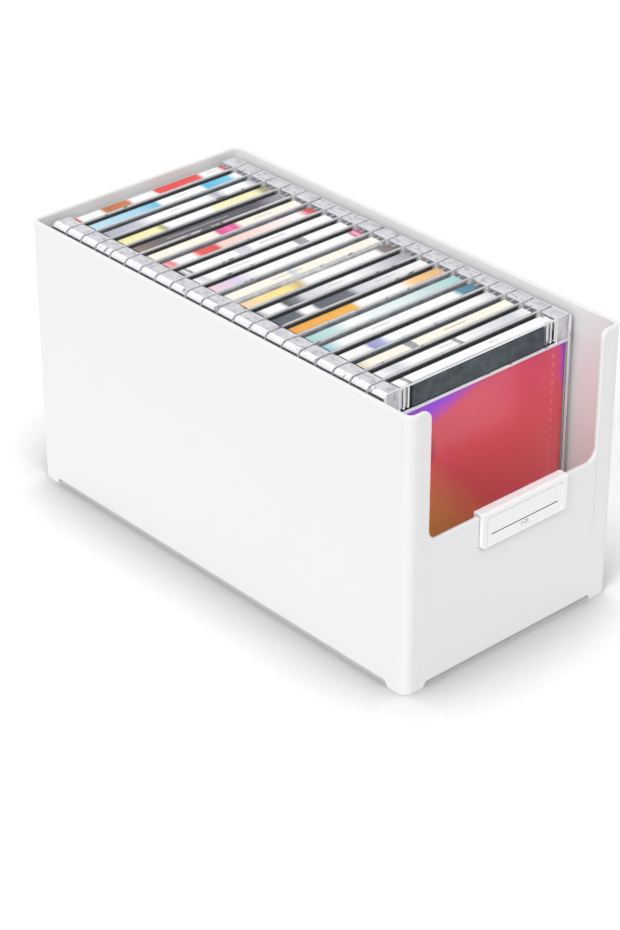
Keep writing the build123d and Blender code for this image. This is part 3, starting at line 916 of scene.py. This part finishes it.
# screen colours of the prints; each spine's stops are its share from the left and a colour there
white, ivory = (254, 254, 254), (254, 249, 236)
pale, ash, coal = (214, 216, 222), (150, 152, 158), (38, 38, 44)
spineDesigns = {
    1: ((0.0, white), (0.05, white), (0.052, ash), (0.075, ash), (0.08, white), (1.0, white)),
    2: ((0.0, white), (0.12, pale), (0.2, white), (0.5, white), (0.51, ash), (0.53, ash), (0.54, white),
        (0.9, pale), (1.0, white)),
    3: ((0.0, (222, 214, 190)), (0.06, ivory), (0.3, ivory), (0.31, ash), (0.35, ash), (0.36, ivory),
        (1.0, ivory)),
    4: ((0.0, white), (0.15, white), (0.18, (150, 148, 196)), (0.25, (170, 176, 216)), (0.3, white),
        (0.9, white), (1.0, pale)),
    5: ((0.0, (150, 196, 206)), (0.05, (206, 226, 230)), (0.1, white), (0.86, white), (0.9, (70, 130, 150)),
        (1.0, (46, 100, 126))),
    6: ((0.0, (176, 212, 208)), (0.16, (200, 226, 224)), (0.26, white), (0.6, (232, 244, 244)),
        (0.84, (196, 222, 222)), (1.0, (170, 208, 206))),
    7: ((0.0, (226, 162, 14)), (0.2, (230, 170, 12)), (0.4, (234, 178, 36)), (0.44, white), (0.72, white),
        (0.8, (244, 206, 150)), (1.0, (216, 176, 130))),
    8: ((0.0, (52, 62, 74)), (0.14, (66, 78, 90)), (0.18, white), (0.24, white), (0.27, (50, 60, 72)),
        (0.48, (74, 82, 92)), (0.53, pale), (1.0, white)),
    9: ((0.0, ash), (0.04, white), (0.14, white), (0.17, coal), (0.24, (110, 112, 118)), (0.3, pale),
        (0.6, white), (0.8, pale), (1.0, ash)),
    10: ((0.0, (248, 214, 186)), (0.12, (250, 226, 170)), (0.28, (246, 232, 160)), (0.36, (206, 176, 130)),
        (0.42, white), (0.9, white), (0.93, (120, 104, 98)), (1.0, (98, 88, 86))),
    11: ((0.0, ivory), (0.4, ivory), (0.42, pale), (0.47, ivory), (1.0, ivory)),
    12: ((0.0, (244, 214, 226)), (0.16, (226, 212, 236)), (0.3, white), (0.93, white),
        (0.95, (190, 50, 110)), (0.965, (240, 190, 210)), (0.985, (190, 50, 110)), (1.0, (190, 50, 110))),
    13: ((0.0, white), (0.05, pale), (0.08, white), (0.66, white), (0.67, ash), (0.73, ash), (0.74, white),
        (1.0, white)),
    14: ((0.0, coal), (0.03, white), (0.045, coal), (0.06, white), (0.36, white), (0.37, pale),
        (0.45, pale), (0.46, white), (1.0, white)),
    15: ((0.0, (240, 190, 196)), (0.04, (226, 120, 128)), (0.07, white), (0.18, white),
        (0.22, (220, 88, 82)), (0.33, (206, 66, 66)), (0.36, (246, 214, 206)), (0.6, (248, 226, 220)),
        (0.9, white), (0.96, (196, 52, 60)), (1.0, (170, 40, 50))),
    16: ((0.0, ivory), (0.43, ivory), (0.45, (206, 44, 130)), (0.52, (236, 120, 180)),
        (0.56, (206, 44, 130)), (0.6, ivory), (1.0, ivory)),
    17: ((0.0, (126, 108, 96)), (0.1, (92, 78, 76)), (0.3, (58, 44, 60)), (0.6, (36, 28, 42)),
        (0.82, (44, 34, 46)), (0.9, (120, 116, 124)), (1.0, ash)),
    18: ((0.0, (244, 238, 180)), (0.24, (246, 242, 196)), (0.28, (150, 148, 90)), (0.31, white),
        (0.58, white), (0.64, (248, 244, 204)), (0.92, (246, 240, 196)), (0.96, (150, 146, 112)),
        (1.0, (132, 130, 104))),
    19: ((0.0, (176, 176, 190)), (0.2, (196, 196, 208)), (0.3, white), (0.68, white),
        (0.74, (166, 168, 176)), (0.8, white), (0.94, white), (1.0, ash)),
    20: ((0.0, (196, 226, 240)), (0.3, (176, 216, 234)), (0.43, (118, 190, 218)), (0.46, white),
        (0.74, white), (0.77, (92, 182, 214)), (0.93, (128, 204, 228)), (0.97, white), (1.0, white)),
    21: ((0.0, (230, 130, 50)), (0.02, white), (0.15, white), (0.18, (176, 104, 58)),
        (0.33, (196, 116, 60)), (0.36, white), (0.51, white), (0.53, (216, 60, 26)), (0.82, (224, 78, 36)),
        (0.85, white), (0.96, white), (0.985, (196, 60, 56)), (1.0, (196, 60, 56))),
}
spineMarks = {  # runs of small dashes: from, to, colour
    1: (0.62, 0.68, ash), 2: (0.4, 0.5, ash), 3: (0.55, 0.7, coal), 5: (0.3, 0.42, ash),
    8: (0.66, 0.8, ash), 9: (0.45, 0.55, ash), 11: (0.3, 0.5, ash), 13: (0.2, 0.36, ash),
    14: (0.52, 0.7, coal), 16: (0.7, 0.82, ash), 17: (0.2, 0.62, pale), 19: (0.42, 0.5, ash),
    20: (0.55, 0.64, ash), 21: (0.88, 0.95, ash),
}
trayOf = {  # the others are black
    4: "slateTray", 6: "greyTray", 7: "greyTray", 11: "whiteTray",
    12: "greyTray", 16: "greyTray", 20: "slateTray",
}
coverLook = {
    "slant": 3.0,  # how far the two tones lean across
    "cloud": 0.4,
    "turns": (0.3, 0.75, 1.0),  # where the colour, its light tone and its dark tone stand
    "roughness": 0.35,
}


def inked(stops, gain):
    # stops in linear light, where each channel moves away from the colour's mean by the gain
    result = []
    for position, screen in stops:
        colour = linear(*screen)
        mean = sum(colour) / 3
        result.append((position, tuple(min(max(mean + (c - mean) * gain, 0.0), 1.0) for c in colour)))
    return result


def strongestColour(stops):
    # the stop whose colour is furthest from grey and white
    return max((colour for _, colour in stops), key=lambda c: (max(c) - min(c)) + 0.4 * (1 - max(c)))


def coverMaterial(name, look, colour, middle, low):
    # generic cover print: three tones of one colour in a slow, cloudy diagonal blend
    material, surface = newMaterial(name)
    n = Nodes(material)
    x, y, z = n.split(n.objectPlace((middle, 0, low)))
    height = n.math("MULTIPLY", z, 1 / caseLook["height"])
    slope = n.math("ADD", height, n.math("MULTIPLY", x, look["slant"]))
    tone = n.math("ADD", slope, n.math("MULTIPLY", n.noise(n.objectPlace(), 25.0, 3.0), look["cloud"]))
    tones = (colour, tuple(0.45 * c + 0.5 for c in colour), tuple(0.7 * c for c in colour))
    n.link(n.ramp(tone, list(zip(look["turns"], tones))), surface.inputs["Base Color"])
    surface.inputs["Roughness"].default_value = look["roughness"]
    return material


def buildRow(look):
    # each case behind the front one: its clear shell, and what is in it as one piece
    silver = discMaterial("discSilver", discLook, rowMiddle, rowLow[2] + look["discHeight"])
    contents = {
        "sheet": foldedSheet(look),
        "plate": slab(look["trayHalf"], *look["trayPlate"], look["edge"]),
        "bar": slab(look["barHalf"], *look["bar"], look["edge"]),
        "disc": ringBody(look, 60),
        "booklet": bookletBody(look),
    }
    clear = [clearWall, clearRims]
    layout = (("plate", 0), ("bar", 0), ("sheet", 1), ("booklet", 2), ("disc", 3))  # shape and material
    for number in range(2, caseCount + 1):
        tag = f"{number:02d}"
        low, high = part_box(f"case_{tag}_shell")
        body, shell = f"case_{tag}", f"case_{tag}_shell"
        mergedCopy(shell, f"clearCase_{tag}", body, clear, look["rimEdge"], look["thin"])
        stops = inked(spineDesigns[number], look["inkGain"])
        colour = strongestColour(stops)
        back = (linear(*white), tuple(0.5 * c + 0.4 for c in colour))
        marks = spineMarks.get(number, (0.0, 0.0, ash))
        card = paperMaterial(f"inlayCard_{tag}", paperLook, stops, marks, (rowMiddle, low[1], high[2]), back)
        cover = coverMaterial(f"coverPrint_{tag}", coverLook, colour, rowMiddle, low[2])
        materials = [trays[trayOf.get(number, "blackTray")], card, cover, silver]
        parts = [(*contents[shape], index) for shape, index in layout]
        place = (rowMiddle, low[1], low[2])
        inside = (f"case_{tag}_contents",)
        makePiece(f"caseInside_{tag}", parts, materials, body, inside, 30, place)
    return contents, silver


rowContents, discSilver = buildRow(caseLook)
print("row of", caseCount - 1, "cases ready")

# places on the cover are shares of its width and height; "From" gives a level and how fast the
# colour comes in above it (below it, where the speed is negative)
frontLook = {
    "edge": 0.4 * mm,
    "trayEdge": 0.2 * mm,
    "cover": {
        "red": linear(238, 82, 96),
        "deep": linear(228, 66, 104),
        "deepFrom": (0.72, 3.0),
        # painted light: a paler red towards the bottom, where the front wall shades the cover
        "low": linear(255, 112, 122),
        "paintedLightFrom": (0.72, -3.6),
        "orange": linear(255, 190, 104),
        "orangeFrom": (0.9, -3.4),
        "violet": linear(160, 48, 236),
        "leftFrom": (0.79, 12.0),
        "rightFrom": (1.19, 18.0),
        "shade": linear(84, 30, 84),
        "ring": (0.13, 0.8, 0.04, 0.11),  # middle across, middle up, inner and outer radius
        "pale": linear(250, 160, 172),
        "dashes": (0.925, 0.94, 0.004),  # from, to, soft edge
        "dashTurns": 150.0,
        "cloud": 0.12,
    },
}


def frontCoverMaterial(name, look, low, high):
    # generic cover print: coral red, with painted light making it paler towards the bottom where the front
    # wall shades it, that turns orange low on the left and violet in the upper corners, broken by slow
    # clouds, with a dark soft arc at the left and pale dashes at the right
    material, surface = newMaterial(name)
    n = Nodes(material)
    width, height = high[0] - low[0], high[2] - low[2]
    x, y, z = n.split(n.objectPlace((low[0], 0, low[2]), (1 / width, 1, 1 / height)))
    cloud = n.math("SUBTRACT", n.noise(n.objectPlace(), 22.0, 4.0, 0.6), 0.5)
    up = n.math("ADD", z, n.math("MULTIPLY", cloud, look["cloud"]))
    side = n.math("ADD", x, n.math("MULTIPLY", cloud, look["cloud"]))
    base = n.mix(n.above(up, *look["deepFrom"]), look["red"], look["deep"])
    # painted light: paler red towards the bottom
    base = n.mix(n.above(up, *look["paintedLightFrom"]), base, look["low"])
    slope = n.math("ADD", n.math("MULTIPLY", side, 0.7), up)
    base = n.mix(n.above(slope, *look["orangeFrom"]), base, look["orange"])
    left = n.above(n.math("SUBTRACT", up, n.math("MULTIPLY", side, 0.4)), *look["leftFrom"])
    right = n.above(n.math("ADD", n.math("MULTIPLY", up, 0.25), side), *look["rightFrom"])
    base = n.mix(n.math("ADD", left, right, clamp=True), base, look["violet"])
    middleX, middleZ, inner, outer = look["ring"]
    dx, dz = n.math("SUBTRACT", x, middleX), n.math("SUBTRACT", z, middleZ)
    away = n.math("SQRT", n.math("ADD", n.math("MULTIPLY", dx, dx), n.math("MULTIPLY", dz, dz)))
    ring = n.band(n.math("ADD", away, n.math("MULTIPLY", cloud, 0.1)), inner, outer, 0.06)
    base = n.mix(n.math("MULTIPLY", ring, 0.9), base, look["shade"])
    dash = n.math("GREATER_THAN", n.math("SINE", n.math("MULTIPLY", z, look["dashTurns"])), 0.2)
    dashes = n.math("MULTIPLY", n.band(x, *look["dashes"]), dash)
    base = n.mix(n.math("MULTIPLY", dashes, 0.35), base, look["pale"])
    n.link(base, surface.inputs["Base Color"])
    surface.inputs["Roughness"].default_value = 0.3
    n.link(n.bump(n.noise(n.objectPlace(), 1200.0, 2.0), 0.05, 0.000004), surface.inputs["Normal"])
    return material


def buildFrontCase(look):
    # lid, base and tray are the solids with softened edges; disc, booklet and card are surfaces
    low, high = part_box("front_case_lid")
    place = (rowMiddle, low[1], low[2])
    base, lid, clear, thin = "front_case", "front_case_cover", [clearWall, clearRims], caseLook["thin"]
    mergedCopy("front_case_lid", "frontLid", lid, clear, look["edge"], thin)
    mergedCopy("front_case_base", "frontBase", base, clear, look["edge"], thin)
    mergedCopy("front_case_tray", "frontTray", base, [trays["slateTray"]], look["trayEdge"])
    disc = (*ringBody(caseLook, 120), 0)
    makePiece("frontDisc", [disc], [discSilver], base, ("front_case_disc",), 30, place)
    cover = frontCoverMaterial("frontCoverPrint", look["cover"], *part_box("front_case_booklet"))
    booklet = (*rowContents["booklet"], 0)
    makePiece("frontBooklet", [booklet], [cover], lid, ("front_case_booklet",), 30, place)
    stops, back = inked(spineDesigns[1], 1.0), (linear(*white), linear(*pale))
    card = paperMaterial("inlayCard_01", paperLook, stops, spineMarks[1], (rowMiddle, low[1], high[2]), back)
    sheet = (*rowContents["sheet"], 0)
    makePiece("frontInlay", [sheet], [card], base, ("front_case_inlay",), 30, place)


buildFrontCase(frontLook)
print("front case ready")
